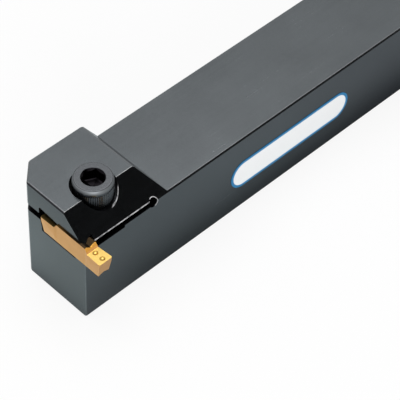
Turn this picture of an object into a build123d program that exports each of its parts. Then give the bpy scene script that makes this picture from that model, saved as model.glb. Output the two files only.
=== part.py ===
from build123d import *
import math
import os

# Right-angle external grooving tool holder for a lathe, in millimetres.
# The shank lies along X. While it is drawn, X runs back from the end face, Y runs in from the
# cutting side and Z runs up from the base. move_to_origin() then shifts every piece so that
# the origin is the middle of the base, under the shank.

# --- Shank and head ---
shank_size = 25.0          # square section, and also the height of the cutting edge
tool_length = 150.0
head_rise = 6.8            # clamping head above the shank
head_length = 21.75        # along its top
ramp_run = 4.85            # slope behind the head, along X
corner_cut = 5.05          # vertical flat on the front corner away from the cutting side
bevel_start = 24.65        # height on the cutting side where the 45 degree bevel begins
edge_break = 0.35
rear_chamfer = 1.5

# --- Slot that lets the upper jaw spring ---
slot_top = 25.02           # at the cutting side
slot_width = 1.4
slot_front_width = 2.05    # the slot is deeper near the insert
slot_front_length = 12.7
slot_fall = 1.3            # degrees down towards the far side
hinge_hole_r = 1.25
hinge_hole_x = 22.0

# --- Clamp screw, M6 cap head, and its seat ---
screw_x = 11.05
screw_y = 9.1
screw_seat = 28.3
screw_r = 2.95
screw_length = 20.0
tapped_r = 3.0
tapped_bottom = 6.0
clearance_r = 3.3
counterbore_r = 5.7
head_r = 5.0
head_height = 6.0
head_rim_r = 4.5
hex_flats = 5.0
hex_depth = 3.3
hex_turn = 34.0            # degrees from X to the first corner of the socket
socket_mouth_r = 3.05      # round countersink over the hexagon
socket_mouth_depth = 0.7
screw_tip_chamfer = 0.8
drill_point = 118.0        # degrees, at the bottom of the tapped hole
seat_gap = 0.02            # running gap under the head

# --- Grooving insert, 4 mm wide, two cutting ends ---
insert_length = 20.5
insert_height = 4.8        # from its base to the cutting edge
cut_width = 4.0
rake_width = 3.55          # the cutting end narrows inwards, to here at the chip-breaker wall
blade_width = 3.3
plateau_rise = 1.0         # clamped middle above the cutting edges
plateau_half = 4.95
rake_length = 4.55         # from the cutting edge in to the foot of the wall
rake_dip = 0.2             # the rake falls inwards from the cutting edge
end_relief = 10.0          # degrees
corner_r = 0.4
vee_half = 1.45            # vee along the base, which sits on the pocket's ridge
vee_depth = 0.6
groove_half = 1.0          # vee along the top, which takes the jaw's nose
groove_depth = 0.5
vee_gap = 0.15             # left beside the vees, so that only they touch
dimple_r = 1.0             # chip-breaker dimples pressed in the rake
dimple_depth = 0.22
dimple_insets = (1.2, 3.6) # from the cutting edge
insert_overhang = 0.74     # cutting corner in front of the end face
insert_reach = 5.9         # cutting edge beyond the cutting side

# --- Insert pocket ---
pocket_depth = 3.6
pocket_stop_start = 1.0    # the rear stop touches the insert from here inwards
pocket_rear_gap = 1.25
jaw_relief_start = 9.2     # the upper jaw is hollowed over the idle cutting edge
jaw_relief_top = 26.8
jaw_relief_low = 26.1
jaw_relief_corner = 0.4
seat_bevel_width = 0.8     # bevel along the seat's outer edge, behind its supported front
seat_bevel_drop = 1.15
seat_bevel_start = 3.3

# --- Marking label ---
label_length = 42.6
label_height = 8.9
label_thickness = 0.12
label_x = 69.9
label_z = 12.15

# --- Worked out from the above ---
head_top = shank_size + head_rise
insert_base = shank_size - insert_height
insert_mid_x = cut_width / 2 - insert_overhang
insert_mid_y = insert_length / 2 - insert_reach
plateau_top = shank_size + plateau_rise
relief_inset = insert_height * math.tan(math.radians(end_relief))
past = 2.0                 # how far a cutting tool runs past the faces it cuts
lap = 1.0                  # how far two cuts of one pocket overlap


def prism_along_x(outline, start, end):
    """Solid whose (y, z) outline is carried from x = start to x = end."""
    face = make_face(Polyline(*[(start, y, z) for y, z in outline], close=True))
    return extrude(face, amount=end - start, dir=(1, 0, 0))


def prism_along_y(outline, start, end):
    """Solid whose (x, z) outline is carried from y = start to y = end."""
    face = make_face(Polyline(*[(x, start, z) for x, z in outline], close=True))
    return extrude(face, amount=end - start, dir=(0, 1, 0))


def prism_along_z(outline, start, end):
    """Solid whose (x, y) outline is carried from z = start to z = end."""
    face = make_face(Polyline(*[(x, y, start) for x, y in outline], close=True))
    return extrude(face, amount=end - start, dir=(0, 0, 1))


def upright_cylinder(radius, x, y, bottom, top):
    """Round solid with a vertical axis, standing between two heights."""
    height = top - bottom
    return Pos(x, y, bottom + height / 2) * Cylinder(radius, height)


def move_to_origin(piece):
    """Shift a piece from the drawing corner to the middle of the base."""
    return Pos(-tool_length / 2, -shank_size / 2, 0) * piece


def holder_blank():
    """Milled bar: shank, raised head, ramp behind the head and the flat on the front corner."""
    side = [
        (0, 0),
        (tool_length, 0),
        (tool_length, shank_size),
        (head_length + ramp_run, shank_size),
        (head_length, head_top),
        (0, head_top),
    ]
    cut = corner_cut + past
    corner = [
        (-past, shank_size - cut),
        (cut, shank_size + past),
        (-past, shank_size + past),
    ]
    return prism_along_y(side, 0, shank_size) - prism_along_z(corner, -past, head_top + past)


def break_edges(blank):
    """Deburr the outside edges, with a larger chamfer round the rear end."""
    foot = head_length + ramp_run
    blank = chamfer(blank.faces().sort_by(Axis.X)[-1].edges(), rear_chamfer)

    def is_plain(edge):
        middle = edge.center()
        on_rear = middle.X > tool_length - 2 * rear_chamfer
        under_bevel = middle.Y < edge_break and middle.Z > bevel_start
        in_ramp_foot = abs(middle.X - foot) < 0.01 and abs(middle.Z - shank_size) < 0.01
        return not (on_rear or under_bevel or in_ramp_foot)

    return chamfer([edge for edge in blank.edges() if is_plain(edge)], edge_break)


def chip_bevel():
    """Wedge cleared off the cutting side at 45 degrees, which also breaks the shank's edge."""
    outline = [
        (-past, bevel_start - past),
        (head_top - bevel_start + past, head_top + past),
        (-past, head_top + past),
    ]
    return prism_along_x(outline, -past, tool_length + past)


def spring_slot():
    """Slot from the end face to a round hinge hole, sloping down to the far side."""
    along_y = shank_size + 2 * past

    def leaf(width, length):
        box = Box(length + past, along_y, width)
        return Pos((length - past) / 2, along_y / 2 - past, -width / 2) * box

    hole = Pos(hinge_hole_x, along_y / 2 - past, -slot_width / 2)
    slot = leaf(slot_width, hinge_hole_x) + leaf(slot_front_width, slot_front_length)
    slot += hole * Rot(90, 0, 0) * Cylinder(hinge_hole_r, along_y)
    return Pos(0, 0, slot_top) * Rot(-slot_fall, 0, 0) * slot


def vee_outline(half, level, tip, flank, side):
    """Blunt vee across the insert's middle: tip height, flank level, and its outer side."""
    slope = half / abs(tip - level)
    reach = half + abs(flank - level) * slope
    return [
        (-past, side),
        (-past, flank),
        (insert_mid_x - reach, flank),
        (insert_mid_x, tip),
        (insert_mid_x + reach, flank),
        (pocket_depth + past, flank),
        (pocket_depth + past, side),
    ]


def insert_pocket():
    """Room for the insert: vee seat below, vee nose above, stop behind, relief over the idle end."""
    low = insert_base - past
    rear_low = insert_mid_y + insert_length / 2 - relief_inset
    rear_top = rear_low + relief_inset
    lean = math.tan(math.radians(end_relief))
    open_rear = [
        (-past, low),
        (rear_low + pocket_rear_gap - past * lean, low),
        (rear_top + pocket_rear_gap, shank_size),
        (-past, shank_size),
    ]
    stop_rear = [
        (-past, low),
        (rear_low - past * lean, low),
        (rear_top, shank_size),
        (-past, shank_size),
    ]
    seat_tip = insert_base + vee_depth
    seat = vee_outline(vee_half, insert_base, seat_tip, insert_base - vee_gap, low - past)
    lower = prism_along_x(stop_rear, -past, pocket_depth)
    lower += prism_along_x(open_rear, -past, pocket_stop_start)
    lower -= prism_along_y(seat, -2 * past, shank_size)

    nose_gap = plateau_top + vee_gap
    nose_tip = plateau_top - groove_depth
    nose = vee_outline(groove_half, plateau_top, nose_tip, nose_gap, nose_gap + past)
    upper = prism_along_x(
        [
            (-past, shank_size - lap),
            (jaw_relief_start, shank_size - lap),
            (jaw_relief_start, nose_gap),
            (-past, nose_gap),
        ],
        -past,
        pocket_depth,
    )
    upper -= prism_along_y(nose, -2 * past, shank_size)

    rear_edge = rear_top + pocket_rear_gap
    relief = [
        (jaw_relief_start, shank_size - lap),
        (rear_edge, shank_size - lap),
        (rear_edge, jaw_relief_top - jaw_relief_corner),
        (rear_edge - jaw_relief_corner, jaw_relief_top),
        (jaw_relief_start, jaw_relief_low),
    ]
    return lower + upper + prism_along_x(relief, -past, pocket_depth)


def seat_bevel():
    """Bevel that takes the sharp edge off the seat, behind its supported front."""
    level = insert_base
    slope = seat_bevel_drop / seat_bevel_width
    outline = [
        (-past, level - seat_bevel_drop - past * slope),
        (seat_bevel_width, level),
        (seat_bevel_width, level + lap),
        (-past, level + lap),
    ]
    rear = insert_mid_y + insert_length / 2 - relief_inset + pocket_rear_gap
    return prism_along_y(outline, seat_bevel_start, rear)


def screw_holes():
    """Counterbore and clearance hole in the jaw, and the tapped hole in the bar below."""
    holes = upright_cylinder(counterbore_r, screw_x, screw_y, screw_seat, head_top + past)
    holes += upright_cylinder(clearance_r, screw_x, screw_y, slot_top - lap, screw_seat)
    holes += upright_cylinder(tapped_r, screw_x, screw_y, tapped_bottom, slot_top)
    drill_depth = tapped_r / math.tan(math.radians(drill_point / 2))
    drill = Cone(tapped_r, 0.0, drill_depth)
    holes += Pos(screw_x, screw_y, tapped_bottom - drill_depth / 2) * Rot(180, 0, 0) * drill
    return holes


def make_holder_body():
    """One piece of steel: the shank, the head and the jaw that springs down on the insert."""
    body = break_edges(holder_blank()) - chip_bevel()
    return body - spring_slot() - insert_pocket() - seat_bevel() - screw_holes()


def insert_side():
    """Side view of the insert as (y, z) from its middle and its base."""
    tip = insert_length / 2
    foot = tip - relief_inset
    plateau = insert_height + plateau_rise
    half = [
        (foot, 0),
        (tip, insert_height),
        (tip - rake_length, insert_height - rake_dip),
        (plateau_half, plateau),
    ]
    return half + [(-y, z) for y, z in reversed(half)]


def insert_end():
    """Wider cutting end, before its top is shaped: relieved down its sides and rounded in plan."""
    half_cut = cut_width / 2
    half_rake = rake_width / 2
    half_blade = blade_width / 2
    inner = insert_length / 2 - rake_length
    section = [
        (-half_blade, 0),
        (half_blade, 0),
        (half_cut, insert_height),
        (half_cut, insert_height + past),
        (-half_cut, insert_height + past),
        (-half_cut, insert_height),
    ]
    plan = [
        (-half_cut, insert_length / 2),
        (-half_rake, inner),
        (-half_blade, plateau_half),
        (half_blade, plateau_half),
        (half_rake, inner),
        (half_cut, insert_length / 2),
    ]
    block = prism_along_z(plan, -past, insert_height + past)
    tip_edges = block.edges().filter_by(Axis.Z).sort_by(Axis.Y)[-2:]
    block = fillet(tip_edges, corner_r)
    return block & prism_along_y(section, -insert_length, insert_length)


def make_grooving_insert():
    """Pressed and ground carbide insert: a narrow blade with a cutting end at each side."""
    outline = insert_side()
    body = prism_along_x(outline, -blade_width / 2, blade_width / 2)
    wide = prism_along_x(outline, -cut_width / 2, cut_width / 2)
    end = insert_end() & wide
    body += end
    body += Rot(0, 0, 180) * end

    reach = insert_length
    vee_below = [(-vee_half, 0), (0, vee_depth), (vee_half, 0), (0, -past)]
    body -= prism_along_y(vee_below, -reach, reach)
    top = insert_height + plateau_rise
    vee_above = [(-groove_half, top), (0, top - groove_depth), (groove_half, top), (0, top + past)]
    body -= prism_along_y(vee_above, -reach, reach)

    for side in (-1, 1):
        for inset in dimple_insets:
            level = insert_height - rake_dip * inset / rake_length
            centre = Pos(0, side * (insert_length / 2 - inset), level + dimple_r - dimple_depth)
            body -= centre * Sphere(dimple_r)
    return Pos(insert_mid_x, insert_mid_y, insert_base) * body


def make_clamp_screw():
    """Hexagon socket cap screw, drawn at full size with a plain cylinder for its thread."""
    head = Pos(0, 0, head_height / 2) * Cylinder(head_r, head_height)
    head = chamfer(head.edges().sort_by(Axis.Z)[-1], head_r - head_rim_r)
    socket = extrude(RegularPolygon(hex_flats / 2, 6, major_radius=False), amount=-hex_depth)
    socket = Rot(0, 0, hex_turn) * socket
    mouth = Cone(hex_flats / 2, socket_mouth_r, socket_mouth_depth)
    mouth = Pos(0, 0, -socket_mouth_depth / 2) * mouth
    head -= Pos(0, 0, head_height) * (socket + mouth)
    stem = Pos(0, 0, -screw_length / 2) * Cylinder(screw_r, screw_length)
    stem = chamfer(stem.edges().sort_by(Axis.Z)[0], screw_tip_chamfer)
    return Pos(screw_x, screw_y, screw_seat + seat_gap) * (head + stem)


def make_side_label():
    """Thin film label with round ends, stuck on the cutting side of the shank."""
    outline = SlotOverall(label_length, label_height)
    film = extrude(outline, amount=label_thickness)
    return Pos(label_x, 0, label_z) * Rot(90, 0, 0) * film


pieces = {
    "holder_body": make_holder_body(),
    "grooving_insert": make_grooving_insert(),
    "clamp_screw": make_clamp_screw(),
    "side_label": make_side_label(),
}

os.makedirs("parts", exist_ok=True)
for name, piece in pieces.items():
    export_step(move_to_origin(piece), os.path.join("parts", name + ".step"))
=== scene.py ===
import math

import bpy
import numpy as np
from mathutils import Matrix, Vector


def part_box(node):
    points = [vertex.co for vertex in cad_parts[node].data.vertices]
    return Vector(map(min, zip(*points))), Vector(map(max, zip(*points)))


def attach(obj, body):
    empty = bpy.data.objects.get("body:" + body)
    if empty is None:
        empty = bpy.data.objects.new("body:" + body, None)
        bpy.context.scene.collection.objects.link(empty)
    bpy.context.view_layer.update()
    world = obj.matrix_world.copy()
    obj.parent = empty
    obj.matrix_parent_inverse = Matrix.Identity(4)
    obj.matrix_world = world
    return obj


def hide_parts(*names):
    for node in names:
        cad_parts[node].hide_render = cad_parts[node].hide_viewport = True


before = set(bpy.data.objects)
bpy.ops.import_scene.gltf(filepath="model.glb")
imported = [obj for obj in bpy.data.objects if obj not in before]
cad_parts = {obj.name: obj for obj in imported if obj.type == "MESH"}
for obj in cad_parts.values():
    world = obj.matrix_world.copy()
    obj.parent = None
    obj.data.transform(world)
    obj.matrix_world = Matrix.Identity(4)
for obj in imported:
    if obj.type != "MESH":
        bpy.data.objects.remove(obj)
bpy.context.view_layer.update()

# --- Holder body -------------------------------------------------------------------------
# One bar of alloy steel: square shank, raised head, and a jaw that springs over a slot. It is
# milled and ground, then blackened in a hot oxide bath and oiled. Its sharp edges carry bright
# lines, partly worn steel and partly painted highlight, and the slot, the screw's seat, the bevel
# and some edges carry painted shade.


class Value:
    """A number that varies over a surface. Each sign written on it adds a Math node."""

    def __init__(self, finish, socket):
        self.finish = finish
        self.socket = socket

    def math(self, operation, first, second=None):
        inputs = {0: first} if second is None else {0: first, 1: second}
        return self.finish.node("ShaderNodeMath", {"operation": operation}, inputs)

    def __add__(self, other):
        return self.math("ADD", self, other)

    def __radd__(self, other):
        return self.math("ADD", other, self)

    def __sub__(self, other):
        return self.math("SUBTRACT", self, other)

    def __rsub__(self, other):
        return self.math("SUBTRACT", other, self)

    def __mul__(self, other):
        return self.math("MULTIPLY", self, other)

    def __rmul__(self, other):
        return self.math("MULTIPLY", other, self)

    def __truediv__(self, other):
        return self.math("DIVIDE", self, other)

    def __abs__(self):
        return self.math("ABSOLUTE", self)

    def root(self):
        return self.math("SQRT", self)

    def larger(self, other):
        return self.math("MAXIMUM", self, other)

    def smaller(self, other):
        return self.math("MINIMUM", self, other)

    def rise(self, low, high):
        """0 below low, 1 above high, and a smooth rise between them."""
        settings = {"interpolation_type": "SMOOTHSTEP"}
        return self.finish.node("ShaderNodeMapRange", settings, {0: self, 1: low, 2: high})

    def fall(self, low, high):
        """1 below low, 0 above high, and a smooth fall between them."""
        return 1 - self.rise(low, high)


class Nodes:
    """A shader's nodes, written one by one. Lengths are millimetres."""

    def __init__(self, tree):
        self.tree = tree
        tree.nodes.clear()

    def feed(self, socket, value):
        """Link a Value to a socket, or set the socket to a constant."""
        if isinstance(value, Value):
            self.tree.links.new(value.socket, socket)
        else:
            socket.default_value = value

    def node(self, kind, settings, inputs, output=0):
        """Any node: its settings first, then its sockets by number or name."""
        node = self.tree.nodes.new(kind)
        for key, value in settings.items():
            setattr(node, key, value)
        for key, value in inputs.items():
            self.feed(node.inputs[key], value)
        return Value(self, node.outputs[output])

    def place(self, corner=(0.0, 0.0, 0.0)):
        """Object coordinates in millimetres from a corner that is given in metres."""
        metres = self.node("ShaderNodeTexCoord", {}, {}, "Object")
        shifted = self.node(
            "ShaderNodeVectorMath", {"operation": "SUBTRACT"}, {0: metres, 1: tuple(corner)}
        )
        return self.node(
            "ShaderNodeVectorMath", {"operation": "SCALE"}, {0: shifted, "Scale": 1000.0}
        )

    def axes(self, place):
        """X, Y and Z of a place as three numbers."""
        outputs = self.node("ShaderNodeSeparateXYZ", {}, {0: place}).socket.node.outputs
        return [Value(self, socket) for socket in outputs]

    def noise(self, place, grain, detail=2.0, stretch=(1.0, 1.0, 1.0)):
        """Soft noise with grains of a size in millimetres, drawn out by stretch on each axis."""
        scale = tuple(1.0 / (grain * longer) for longer in stretch)
        where = self.node("ShaderNodeVectorMath", {"operation": "MULTIPLY"}, {0: place, 1: scale})
        return self.node(
            "ShaderNodeTexNoise", {}, {"Vector": where, "Scale": 1.0, "Detail": detail}
        )

    def mix(self, share, first, second):
        """From the first colour, at share 0, to the second, at share 1."""
        return self.node(
            "ShaderNodeMix", {"data_type": "RGBA"}, {0: share, 6: first, 7: second}, 2
        )

    def relief(self, height, depth):
        """Bump whose height, from 0 to 1, stands for a depth in millimetres."""
        return self.node("ShaderNodeBump", {}, {"Height": height, "Distance": depth * 0.001})

    def show(self, kind, surface):
        """End the tree in its output node."""
        self.feed(self.tree.nodes.new(kind).inputs[0], surface)


class Finish(Nodes):
    """A material with one Principled surface."""

    def __init__(self, name):
        self.material = bpy.data.materials.new(name)
        self.material.use_nodes = True
        super().__init__(self.material.node_tree)
        surface = self.node("ShaderNodeBsdfPrincipled", {}, {})
        self.surface = surface.socket.node
        self.show("ShaderNodeOutputMaterial", surface)

    def paint(self, **sockets):
        """Set or link sockets of the Principled surface, named with _ for each space."""
        for name, value in sockets.items():
            self.feed(self.surface.inputs[name.replace("_", " ")], value)


def grey(level):
    return (level, level, level, 1.0)


def coat(piece, material):
    """Give a piece one material all over."""
    piece.data.materials.clear()
    piece.data.materials.append(material)


# Places on the bar, from its corner: X runs back, Y runs in from the cutting side, Z runs up
body_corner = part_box("holder_body")[0]
bevel_start = 24.65
shank_top = 25.0
head_top = 31.8
slot_top = 25.02
slot_width = 1.4
slot_front_width = 2.05
slot_fall = math.tan(math.radians(1.3))
hinge_x = 22.0
hinge_z = slot_top - slot_width / 2
hinge_r = 1.25
counterbore_x = 11.05
counterbore_y = 9.1
counterbore_r = 5.7
seat_level = 20.2
seat_bevel_width = 0.8
seat_bevel_slope = 1.15 / seat_bevel_width

# Bright edge lines, partly worn steel and partly painted highlight: how wide each is, and how
# strongly it shows
lip_wear_highlight = (0.30, 1.0)
hip_wear_highlight = (0.12, 0.6)
hinge_wear_highlight = (0.24, 1.0)
counterbore_wear_highlight = (0.30, 1.0)
shoulder_wear_highlight = (0.15, 0.25)
crest_wear_highlight = (0.18, 0.2)
corner_wear_highlight = (0.30, 0.15)
brow_shade = (0.38, 1.0)    # a line of painted shade, drawn the same way
wear_core = 0.4            # share of the width at full strength
wear_ragged = 0.12
crest_line = 0.45          # how far behind the end face the head's top edge shines
broken_edge = 0.1          # how far inside the faces the line on a broken edge runs

# Where each mark fades in or out
lip_start = (3.0, 3.6)
lip_end = (21.1, 21.7)
hinge_rim = (67.2, 68.6)   # of z + 2x, so only the rim's top and rear get the line
counterbore_lean = 1.6
counterbore_rim = (5.8, 6.9)
shoulder_start = (26.0, 28.0)
corner_top = (19.0, 19.3)
same_face = (0.01, 0.03)   # a mask that follows a face ends this far off it
slot_floor = (-0.06, -0.04)
slot_end = (23.4, 23.7)
slot_mouth = (0.02, 0.4)
well_wall = (0.01, 0.05)
well_top = (31.0, 31.7)
gutter_face = (0.03, 0.08)
gutter_side = (0.8, 0.85)
gutter_start = (3.1, 3.3)
gutter_end = (15.0, 15.05)
arris_drop = 0.05
arris_line = (0.02, 0.18)
arris_side = (0.05, 0.15)
arris_start = (25.0, 27.0)
bevel_end = (28.0, 29.0)

# Colours, how far painted shade covers the oxide, and how rough the bright edge lines are
oxide_dark = (0.093, 0.102, 0.108, 1.0)
oxide_light = (0.118, 0.129, 0.136, 1.0)
shade_black = (0.012, 0.012, 0.014, 1.0)
bright_steel_highlight = (0.58, 0.58, 0.59, 1.0)
shade_cover = 0.85
bevel_cover = 0.55
bare_roughness = 0.72


def black_oxide_bar():
    """Each mask is 1 on its own mark and 0 elsewhere. Bright lines on the sharp edges are partly
    worn steel and partly painted highlight, and painted shade darkens the recesses, the bevel
    and a few edges. Under both lies a cloudy oxide with grinding lines along the bar."""
    finish = Finish("black_oxide_bar")
    place = finish.place(body_corner)
    x, y, z = finish.axes(place)
    cloud = finish.noise(place, grain=14.0, detail=3.0)
    mottle = finish.noise(place, grain=0.9, detail=3.0)
    speckle = finish.noise(place, grain=0.16)
    ground = finish.noise(place, grain=0.35, detail=3.0, stretch=(60.0, 1.0, 1.0))

    from_bevel = (z - y - bevel_start) / math.sqrt(2)
    over_slot = z - slot_top + y * slot_fall
    behind, above = x - hinge_x, z - hinge_z
    from_hinge = (behind * behind + above * above).root()
    along, across = x - counterbore_x, y - counterbore_y
    from_screw = (along * along + across * across).root()
    ragged = (mottle - 0.5) * wear_ragged

    def edge(first, second, width, share):
        """A ragged line where two surfaces meet: share on it, and 0 a width away from it."""
        away = abs(first).larger(abs(second)) + ragged
        return away.fall(width * wear_core, width) * share

    # Bright lines, partly worn steel and partly painted highlight: the slot's lip, the bevel's
    # top, the hinge hole and the counterbore, the shank's shoulder, the head's front top edge, and
    # the corner under the insert
    lip = edge(from_bevel, over_slot, *lip_wear_highlight) * x.fall(*lip_end) * x.rise(*lip_start)
    hip = edge(from_bevel, z - head_top, *hip_wear_highlight)
    side = abs(from_bevel).smaller(abs(y))
    hinge = edge(from_hinge - hinge_r, side, *hinge_wear_highlight) * (z + 2 * x).rise(*hinge_rim)
    from_bore = from_screw - counterbore_r
    bore = edge(from_bore, from_bevel, *counterbore_wear_highlight)
    bore = bore * (x - counterbore_lean * y).rise(*counterbore_rim)
    shoulder = edge(from_bevel, z - shank_top, *shoulder_wear_highlight) * x.rise(*shoulder_start)
    crest = edge(x - crest_line, z - head_top, *crest_wear_highlight)
    corner = edge(x - broken_edge, y - broken_edge, *corner_wear_highlight) * z.fall(*corner_top)
    worn_and_highlight = lip.larger(hip).larger(hinge).larger(bore).larger(shoulder)
    worn_and_highlight = worn_and_highlight.larger(crest).larger(corner)
    patchy = mottle.rise(0.35, 0.6)
    worn_and_highlight = worn_and_highlight * (0.6 + 0.4 * patchy)

    # Painted shade: inside the slot and the counterbore, the bevel along the insert's seat, and
    # the broken edges of the head's front and of the shank's top
    leaf = over_slot.fall(*same_face) * (over_slot + slot_front_width).rise(*slot_floor)
    leaf = leaf * x.fall(*slot_end) * y.rise(*slot_mouth)
    well = from_bore.fall(*well_wall) * z.fall(*well_top)
    from_seat = abs(z - seat_level - (x - seat_bevel_width) * seat_bevel_slope)
    gutter = from_seat.fall(*gutter_face) * x.fall(*gutter_side)
    gutter = gutter * y.rise(*gutter_start) * y.fall(*gutter_end)
    brow = edge(x - broken_edge, z - head_top + broken_edge, *brow_shade)
    arris = abs(z - bevel_start + arris_drop).fall(*arris_line) * y.fall(*arris_side)
    arris = arris * x.rise(*arris_start)
    painted_shade = leaf.larger(well).larger(gutter).larger(brow).larger(arris)
    # Painted dark reflection: the head's 45° bevel is darkened in its colour
    bevel_dark_reflection = abs(from_bevel).fall(*same_face) * x.fall(*bevel_end)

    shade = 0.3 * cloud.rise(0.3, 0.7) + 0.25 * mottle + 0.3 * ground + 0.15 * speckle
    colour = finish.mix(shade, oxide_dark, oxide_light)
    # Painted shade over the oxide, together with the bevel's painted dark reflection
    painted_shade = (painted_shade * shade_cover).larger(bevel_dark_reflection * bevel_cover)
    colour = finish.mix(painted_shade, colour, shade_black)
    # Bright edge lines: partly steel worn bare, partly painted highlight
    colour = finish.mix(worn_and_highlight, colour, bright_steel_highlight)
    rough = 0.14 + 0.05 * cloud + 0.05 * mottle + 0.03 * speckle + 0.08 * ground
    finish.paint(
        Base_Color=colour,
        Metallic=1.0,
        Roughness=rough.larger(worn_and_highlight * bare_roughness),
        Normal=finish.relief(0.4 * speckle + 0.6 * ground, depth=0.006),
    )
    return finish.material


coat(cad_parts["holder_body"], black_oxide_bar())

# --- Grooving insert ---------------------------------------------------------------------
# Cemented carbide, pressed to shape with its chip breaker and then ground on its flanks, with
# a thin gold nitride coating. It lies in the vee seat across the end of the bar.

insert_corner, insert_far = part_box("grooving_insert")
middle_x = (insert_far.x - insert_corner.x) * 1000 / 2
middle_y = (insert_far.y - insert_corner.y) * 1000 / 2
cutting_height = 4.8       # of the cutting edges, over the insert's base
wall_end = 5.3             # from the cutting edge in to the top of the chip-breaker wall
dimple_insets = (1.2, 3.6)
dimple_r = 0.62
ring_r = 0.8 * dimple_r
ring_fade = (0.12, 0.34)
wall_foot = (0.02, 0.3)    # above the cutting edges
jaw_edge = (0.0, 0.15)     # behind the wall
idle_fade = (0.0, 5.0)     # behind the insert's middle
rake_facing = (0.5, 0.9)   # how far a face must look up to count as each
wall_facing = (0.1, 0.4)
jaw_facing = (0.5, 0.6)
dimple_shade_cover = 0.7
wall_shade_cover = 0.85
jaw_shadow_cover = 0.97
idle_shadow_loss = 0.22
flank_dark = (0.70, 0.35, 0.115, 1.0)
flank_light = (0.88, 0.455, 0.17, 1.0)
rake_dark = (0.69, 0.45, 0.13, 1.0)
rake_light = (0.83, 0.59, 0.175, 1.0)
dimple_shade_brown = (0.30, 0.17, 0.03, 1.0)
wall_shade_orange = (0.76, 0.37, 0.06, 1.0)
jaw_shadow_black = (0.02, 0.016, 0.012, 1.0)


def gold_nitride():
    """Lightest on the up-facing rake, partly its pressed finish and partly painted sheen, duller
    on the ground flanks, a darker orange of painted shade on the breaker wall, and a painted black
    shadow under the jaw, a little less so towards the idle end. Each pressed dimple holds a
    painted dark ring of shade."""
    finish = Finish("gold_nitride")
    place = finish.place(insert_corner)
    x, y, z = finish.axes(place)
    speckle = finish.noise(place, grain=0.22, detail=3.0)
    cloud = finish.noise(place, grain=2.5, detail=3.0)
    ground = finish.noise(place, grain=0.12, stretch=(1.0, 30.0, 1.0))
    normal = finish.node("ShaderNodeNewGeometry", {}, {}, "Normal")
    facing_up = finish.axes(normal)[2]
    # Painted shade: a dark ring in each pressed dimple
    from_tip = middle_y - abs(y - middle_y)
    dimple_shade = 0.0
    for inset in dimple_insets:
        across, along = x - middle_x, from_tip - inset
        from_centre = (across * across + along * along).root()
        ring = abs(from_centre - ring_r).fall(*ring_fade)
        dimple_shade = ring.larger(dimple_shade)
    # Painted shade: the chip-breaker wall is coloured a darker orange, as if in the jaw's shade
    wall = (z - cutting_height).rise(*wall_foot) * facing_up.rise(*wall_facing)
    # Painted shadow: the insert's top behind the wall is blackened as the jaw's shadow, a little
    # less towards the idle end
    idle = (y - middle_y).rise(*idle_fade)
    jaw_shadow = (y - wall_end).rise(*jaw_edge) * facing_up.rise(*jaw_facing)
    jaw_shadow = jaw_shadow * (jaw_shadow_cover - idle_shadow_loss * idle)
    flank = finish.mix(0.6 * cloud + 0.4 * ground, flank_dark, flank_light)
    rake = finish.mix(cloud, rake_dark, rake_light)
    rake = finish.mix(dimple_shade * dimple_shade_cover, rake, dimple_shade_brown)
    # Up-facing faces take the lighter rake colours: partly the pressed finish, partly painted
    # sheen from above
    colour = finish.mix(facing_up.rise(*rake_facing), flank, rake)
    colour = finish.mix(wall * wall_shade_cover, colour, wall_shade_orange)
    finish.paint(
        Base_Color=finish.mix(jaw_shadow, colour, jaw_shadow_black),
        Metallic=1.0,
        Roughness=0.24 + 0.12 * speckle + 0.08 * ground,
        Normal=finish.relief(0.5 * speckle + 0.5 * ground, depth=0.006),
    )
    return finish.material


coat(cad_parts["grooving_insert"], gold_nitride())

# --- Clamp screw -------------------------------------------------------------------------
# M6 socket cap screw of blackened alloy steel: a knurled head with a hexagon socket under a
# round countersink, and a rolled 1 mm thread. It draws the jaw down on the insert.

screw_low, screw_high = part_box("clamp_screw")
screw_middle = (screw_low + screw_high) / 2
head_r = 5.0
head_height = 6.0
rim_round = 0.5            # how far in from the side the rim begins to fall
rim_fall = 1.2
socket_half = 2.5
socket_depth = 3.3
socket_cone = 0.45         # dish of the socket's floor
socket_fillet = 0.05
socket_turn = math.radians(34.0)
mouth_r = 3.05
mouth_depth = 0.6
knurl_teeth = 60
knurl_depth = 0.13
knurl_top = 4.3
knurl_bottom = 0.35
knurl_runout_top = 0.12
knurl_runout_bottom = 0.1
foot_chamfer = 0.15
stem_r = 2.95
stem_length = 20.0
neck_fillet = 0.15
pitch = 1.0
thread_depth = 0.54
thread_start = 1.2
crest_share = 0.25         # of the pitch; the two flanks take the next share, the root the rest
flank_share = 0.62
tip_chamfer = 0.8
tip_step_in = 0.1          # halfway down the chamfer, in from the thread's root
tip_step_up = 0.28
tip_flat = 1.0
columns_per_tooth = 4
columns = knurl_teeth * columns_per_tooth
rows_per_turn = 8
sharp_angle = math.radians(32)

# Marks on the screw. Sides are measured out from the radius of the mouth or the head, and
# heights up from the head's top, the rim's lower end or the head's foot.
socket_side = (-0.1, 0.05)
socket_top = (-0.12, -0.02)
rim_side = (-0.6, -0.45)
rim_foot = (0.0, 0.4)
rim_line_r = 4.58
rim_line_fade = (0.03, 0.12)
rim_line_foot = (-0.3, -0.2)
foot_fade = (0.3, 3.2)
rim_sheen_cover = 0.6
rim_shade_line_cover = 0.8
foot_shade_cover = 0.75
socket_shade_cover = 0.96
oxide_screw_dark = (0.086, 0.091, 0.097, 1.0)
oxide_screw_light = (0.110, 0.116, 0.124, 1.0)
rim_sheen_oxide = (0.215, 0.230, 0.240, 1.0)
screw_shade_black = (0.02, 0.02, 0.022, 1.0)
socket_shade_black = (0.004, 0.003, 0.004, 1.0)


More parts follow.
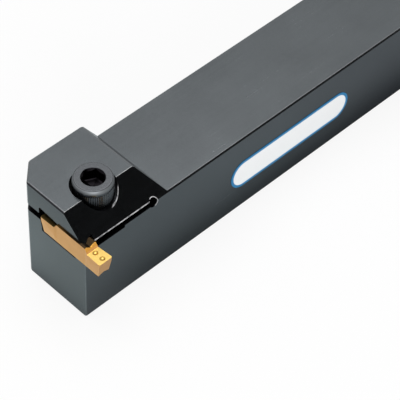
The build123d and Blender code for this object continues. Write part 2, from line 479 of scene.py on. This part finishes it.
def closed_lathe_mesh(name, radius, height, angle, centre):
    """Closed skin of revolution: point (i, j) stands at radius[i, j] and height[i, j] in the
    direction angle[j]. The first and the last row shrink to one point each, on the axis."""
    rows, around = radius.shape
    ring = np.stack([radius * np.cos(angle), radius * np.sin(angle), height], axis=2)[1:-1]
    ends = [[0.0, 0.0, height[0, 0]], [0.0, 0.0, height[-1, 0]]]
    points = np.vstack([ring.reshape(-1, 3), ends]) * 0.001 + np.array(centre)
    start = np.arange(rows - 3)[:, None] * around
    here = np.arange(around)[None, :]
    beside = (here + 1) % around
    quads = np.stack(
        [start + here, start + around + here, start + around + beside, start + beside], axis=2
    )
    top = (rows - 2) * around
    last = (rows - 3) * around
    here, beside = here[0], beside[0]
    caps = [
        np.stack([np.full(around, top), here, beside], axis=1),
        np.stack([last + here, np.full(around, top + 1), last + beside], axis=1),
    ]
    mesh = bpy.data.meshes.new(name)
    faces = quads.reshape(-1, 4).tolist() + caps[0].tolist() + caps[1].tolist()
    mesh.from_pydata(points.tolist(), [], faces)
    mesh.shade_smooth()
    mesh.set_sharp_from_angle(angle=sharp_angle)
    return mesh


def screw_skin():
    """Rows run from the socket's floor out over the rim and down to the tip. The socket is the
    hexagon's flat distance over the cosine to the nearest flat, the knurl a triangle wave
    round the head, and the thread a trapezium wave along a helix."""
    column = np.arange(columns)
    angle = socket_turn + column * 2 * math.pi / columns
    sixth = np.mod(angle - socket_turn, math.pi / 3) - math.pi / 6
    hexagon = socket_half / np.cos(sixth)
    half_tooth = columns_per_tooth / 2
    tooth = np.abs(np.mod(column, columns_per_tooth) - half_tooth) / half_tooth
    floor = head_height - socket_depth
    wall_foot = floor + socket_fillet
    rim_in = head_r - rim_round
    rows = []

    def row(radius, height):
        """One ring. Its radius and height are each one number or change with the angle."""
        rows.append((radius + 0 * angle, height + 0 * angle))

    row(0.0, floor - socket_cone)
    for share in (0.4, 0.8, 0.97):
        row(hexagon * share, floor - socket_cone * (1 - share))
    row(hexagon, wall_foot)
    countersink = (hexagon - socket_half) / (mouth_r - socket_half)
    wall_head = head_height - mouth_depth + countersink * mouth_depth
    for share in (0.33, 0.66, 1.0):
        row(hexagon, wall_foot + (wall_head - wall_foot) * share)
    row((hexagon + mouth_r) / 2, (wall_head + head_height) / 2)
    row(mouth_r, head_height)
    for share in (0.1, 0.5, 0.92):
        row(mouth_r + (rim_in - mouth_r) * share, head_height)
    for turn in np.radians(np.linspace(0, 90, 7)):
        row(rim_in + rim_round * math.sin(turn), head_height - rim_fall * (1 - math.cos(turn)))
    row(head_r, knurl_top + knurl_runout_top)
    for height in np.linspace(knurl_top, knurl_bottom, 9):
        row(head_r - knurl_depth * tooth, height)
    row(head_r - knurl_depth, knurl_bottom - knurl_runout_bottom)
    row(head_r - knurl_depth - foot_chamfer, 0.0)
    row((head_r + stem_r) / 2, 0.0)
    row(stem_r + neck_fillet, 0.0)
    row(stem_r, -neck_fillet)
    row(stem_r, -thread_start)
    threaded = stem_length - thread_start - tip_chamfer
    for drop in np.linspace(0, threaded, int(threaded / pitch * rows_per_turn) + 1)[1:]:
        height = -thread_start - drop
        phase = np.mod(height / pitch - angle / (2 * math.pi), 1.0)
        from_crest = np.abs(phase - 0.5) * 2
        cut = np.clip((from_crest - crest_share) / flank_share, 0, 1)
        runout = min(1.0, drop / pitch)
        row(stem_r - thread_depth * cut * runout, height)
    row(stem_r - thread_depth - tip_step_in, -stem_length + tip_step_up)
    row(stem_r - tip_chamfer, -stem_length)
    row(tip_flat, -stem_length)
    row(0.0, -stem_length)
    radius, height = (np.array(part) for part in zip(*rows))
    seat = (screw_middle.x, screw_middle.y, screw_high.z - head_height * 0.001)
    return closed_lathe_mesh("clamp_screw_detail", radius, height, angle, seat)


def black_oxide_screw():
    """The same oxide on a smoother skin, with a painted sheen round the rim and a painted dark
    line inside it. The socket and the foot of the head get painted shade."""
    finish = Finish("black_oxide_screw")
    place = finish.place((screw_middle.x, screw_middle.y, screw_high.z))
    x, y, height = finish.axes(place)
    mottle = finish.noise(place, grain=0.6, detail=3.0)
    speckle = finish.noise(place, grain=0.12)
    from_axis = (x * x + y * y).root()
    # Painted shade: the socket and its countersink are nearly black
    socket_shade = (from_axis - mouth_r).fall(*socket_side) * height.fall(*socket_top)
    rim = (from_axis - head_r).rise(*rim_side) * (height + rim_fall).rise(*rim_foot)
    rim_shade_line = abs(from_axis - rim_line_r).fall(*rim_line_fade) * height.rise(*rim_line_foot)
    foot = (height + head_height).fall(*foot_fade)
    colour = finish.mix(mottle, oxide_screw_dark, oxide_screw_light)
    # Painted sheen: the rim is lighter in colour
    colour = finish.mix(rim * rim_sheen_cover, colour, rim_sheen_oxide)
    # Painted shade: the head darkens towards its foot in the counterbore
    colour = finish.mix(foot * foot_shade_cover, colour, screw_shade_black)
    # Painted dark reflection: a thin dark line inside the rim
    colour = finish.mix(rim_shade_line * rim_shade_line_cover, colour, screw_shade_black)
    colour = finish.mix(socket_shade * socket_shade_cover, colour, socket_shade_black)
    finish.paint(
        Base_Color=colour,
        Metallic=1.0,
        Roughness=0.22 + 0.08 * mottle + 0.26 * rim,
        Normal=finish.relief(speckle, depth=0.003),
    )
    return finish.material


screw = bpy.data.objects.new("clamp_screw_detail", screw_skin())
bpy.context.scene.collection.objects.link(screw)
coat(screw, black_oxide_screw())
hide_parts("clamp_screw")
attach(screw, "screw")

# --- Side label --------------------------------------------------------------------------
# Self-adhesive film with round ends on the side of the shank, printed white with a blue
# band along its edge. The middle is left blank.

label_low, label_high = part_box("side_label")
label_r = (label_high.z - label_low.z) * 1000 / 2
label_straight = (label_high.x - label_low.x) * 1000 / 2 - label_r
label_band = 0.75
band_edge = (-0.1, 0.1)
label_white_dark = (0.77, 0.78, 0.785, 1.0)
label_white_light = (0.82, 0.83, 0.835, 1.0)
label_blue = (0.002, 0.165, 0.37, 1.0)


def label_film():
    """The band follows the distance from the pill's straight middle line."""
    finish = Finish("label_film")
    place = finish.place((label_low + label_high) / 2)
    along, _, up = finish.axes(place)
    past_straight = (abs(along) - label_straight).larger(0.0)
    from_spine = (past_straight * past_straight + up * up).root()
    band = (from_spine - (label_r - label_band)).rise(*band_edge)
    print_grain = finish.noise(place, grain=0.5)
    white = finish.mix(print_grain, label_white_dark, label_white_light)
    finish.paint(
        Base_Color=finish.mix(band, white, label_blue),
        Roughness=0.34 + 0.05 * print_grain,
        Normal=finish.relief(finish.noise(place, grain=6.0, detail=1.0), depth=0.01),
    )
    return finish.material


coat(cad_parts["side_label"], label_film())

# --- Table, cards and lamps --------------------------------------------------------------
# A plain pale table under soft lamps and a white sky. A black card stands outside the camera's
# view, so that the bevel and the broken edges mirror something dark, and a graded card lies
# under the bar, so that its sides mirror a shaded table.


def sheet_of_card(name, finish, centre, width, height, facing):
    """Flat rectangle round a centre whose face looks towards a point, in metres."""
    mesh = bpy.data.meshes.new(name)
    centre = Vector(centre)
    turn = (Vector(facing) - centre).to_track_quat("Z", "Y")
    across = turn @ Vector((width / 2, 0, 0))
    up = turn @ Vector((0, height / 2, 0))
    corners = [centre - across - up, centre + across - up, centre + across + up]
    corners.append(centre - across + up)
    mesh.from_pydata(corners, [], [(0, 1, 2, 3)])
    piece = bpy.data.objects.new(name, mesh)
    bpy.context.scene.collection.objects.link(piece)
    coat(piece, finish.material)
    return piece


def seen_or_mirrored(nodes):
    """1 where a camera, glossy or transmission ray arrives, and 0 for the light that spreads."""
    camera_ray, glossy_ray, transmission_ray = (
        nodes.node("ShaderNodeLightPath", {}, {}, f"Is {kind} Ray")
        for kind in ("Camera", "Glossy", "Transmission")
    )
    return camera_ray.larger(glossy_ray).larger(transmission_ray)


table_lift = 0.85


def table_white():
    """Seen or mirrored, it mostly shines by itself and looks white, and the share of paint that
    is left shows the bar's shadow. For the light that spreads it is plain pale paint."""
    finish = Finish("table_white")
    lifted = seen_or_mirrored(finish) * table_lift
    finish.paint(
        Base_Color=finish.mix(lifted, grey(0.90), grey(0.0)),
        Roughness=0.9,
        Specular_IOR_Level=0.0,
        Emission_Color=finish.mix(lifted, grey(0.0), grey(1.0)),
        Emission_Strength=1.0,
    )
    return finish


def card_black():
    finish = Finish("card_black")
    finish.paint(Base_Color=grey(0.004), Roughness=1.0, Specular_IOR_Level=0.0)
    return finish


# Tones of the graded card, and where along and across the bar each gives way to the next
bar_head = -75.0
bar_rear = 75.0
bar_side = 12.5
under_rear = (0.16, 0.17, 0.19, 1.0)
under_shank = (0.30, 0.33, 0.34, 1.0)
under_head = (0.60, 0.64, 0.66, 1.0)
under_head_end = -50.0
beside_head = (0.56, 0.62, 0.64, 1.0)
beside_rear = (0.48, 0.51, 0.54, 1.0)
beside_fade = (-1.0, 10.0)
ahead_far = (0.52, 0.57, 0.58, 1.0)
ahead_near = (0.80, 0.90, 0.90, 1.0)
ahead_fade = (-96.0, -84.0)
ahead_end = (-78.0, -73.0)


def card_graded():
    """Darkest along the foot of the bar's rear, paler beside it, and palest ahead of its head."""
    finish = Finish("card_graded")
    along, across, _ = finish.axes(finish.place())
    to_rear = along.rise(bar_head, bar_rear)
    foot = finish.mix(to_rear, under_shank, under_rear)
    foot = finish.mix(along.rise(bar_head, under_head_end), under_head, foot)
    beside = finish.mix(to_rear, beside_head, beside_rear)
    sides = finish.mix((abs(across) - bar_side).rise(*beside_fade), foot, beside)
    ahead = finish.mix(along.rise(*ahead_fade), ahead_far, ahead_near)
    finish.paint(
        Base_Color=finish.mix(along.fall(*ahead_end), sides, ahead),
        Roughness=1.0,
        Specular_IOR_Level=0.0,
    )
    return finish


sheet_of_card(
    "table", table_white(), centre=(0, 0, -0.0001), width=6.0, height=6.0, facing=(0, 0, 1)
)
card_front = sheet_of_card(
    "card_front",
    card_black(),
    centre=(0.375, -0.624, 0.529),
    width=0.70,
    height=0.60,
    facing=(0, 0, 0.02),
)
card_under = sheet_of_card(
    "card_under", card_graded(), centre=(0, 0, -0.00005), width=0.26, height=0.14, facing=(0, 0, 1)
)
for card in (card_front, card_under):
    card.visible_camera = False
    card.visible_diffuse = False
    card.visible_shadow = False


def direction(azimuth, elevation):
    """Unit vector that points away from the middle of the bar's base."""
    turn, rise = math.radians(azimuth), math.radians(elevation)
    level = math.cos(rise)
    return Vector((level * math.cos(turn), level * math.sin(turn), math.sin(rise)))


def lamp(name, azimuth, elevation, distance, size, strength):
    """Soft square lamp that looks at the middle of the bar's base, in degrees and metres."""
    data = bpy.data.lights.new(name, "AREA")
    data.shape = "SQUARE"
    data.size = size
    data.energy = strength
    item = bpy.data.objects.new(name, data)
    away = direction(azimuth, elevation)
    item.location = away * distance
    item.rotation_euler = (-away).to_track_quat("-Z", "Y").to_euler()
    bpy.context.scene.collection.objects.link(item)


lamp("lamp_key", azimuth=75, elevation=80, distance=1.2, size=1.0, strength=7.5)
lamp("lamp_fill", azimuth=-130, elevation=15, distance=1.3, size=0.7, strength=10.0)


def studio_world():
    """White where it is seen or mirrored, and half as bright for the light that spreads."""
    world = bpy.data.worlds.new("studio")
    world.use_nodes = True
    bpy.context.scene.world = world
    nodes = Nodes(world.node_tree)
    strength = 0.5 + 0.5 * seen_or_mirrored(nodes)
    background = nodes.node(
        "ShaderNodeBackground", {}, {"Color": grey(1.0), "Strength": strength}
    )
    nodes.show("ShaderNodeOutputWorld", background)


studio_world()

# --- Camera ------------------------------------------------------------------------------
# High over the cutting side, looking along the shank from the head.

camera_aim = Vector((-0.04478, -0.01959, 0.025))
camera_away = direction(azimuth=-136.65, elevation=48.11)
camera_distance = 0.43158
camera_roll = math.radians(2.857)
camera_data = bpy.data.cameras.new("camera")
camera_data.sensor_width = 36.0
camera_data.lens = 164.78
camera = bpy.data.objects.new("camera", camera_data)
camera_turn = (-camera_away).to_track_quat("-Z", "Y").to_matrix().to_4x4()
camera.matrix_world = (
    Matrix.Translation(camera_aim + camera_away * camera_distance)
    @ camera_turn
    @ Matrix.Rotation(camera_roll, 4, "Z")
)
bpy.context.scene.collection.objects.link(camera)
bpy.context.scene.camera = camera
bpy.context.scene.view_settings.view_transform = "Standard"
